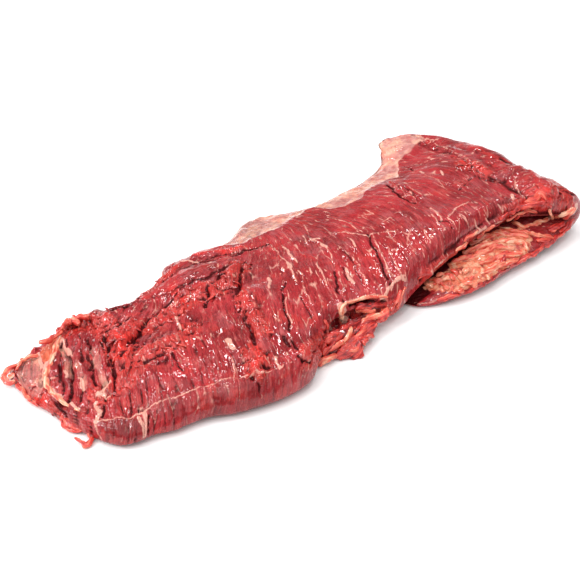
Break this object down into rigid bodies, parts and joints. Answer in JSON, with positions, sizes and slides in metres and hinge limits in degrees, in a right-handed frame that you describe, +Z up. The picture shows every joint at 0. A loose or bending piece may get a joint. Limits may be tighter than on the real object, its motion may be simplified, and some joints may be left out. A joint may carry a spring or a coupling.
{
  "type": "raw flank steak",
  "caption": "Raw flank steak: a long flat beef muscle with a ragged thin tail and its wide end folded under itself over a fat-covered flap.",
  "frame": {"origin": "on the surface that the steak lies on, under the middle of its box", "axes": "+X from the thin tail to the fold, +Y from the near edge with the open flap to the thin far edge, +Z up"},
  "size_m": [0.385, 0.1694, 0.0354],
  "materials": {
    "meat": "moist raw meat with pale fat"
  },
  "bodies": {
    "root": {"steak": "meat"}
  },
  "joints": []
}
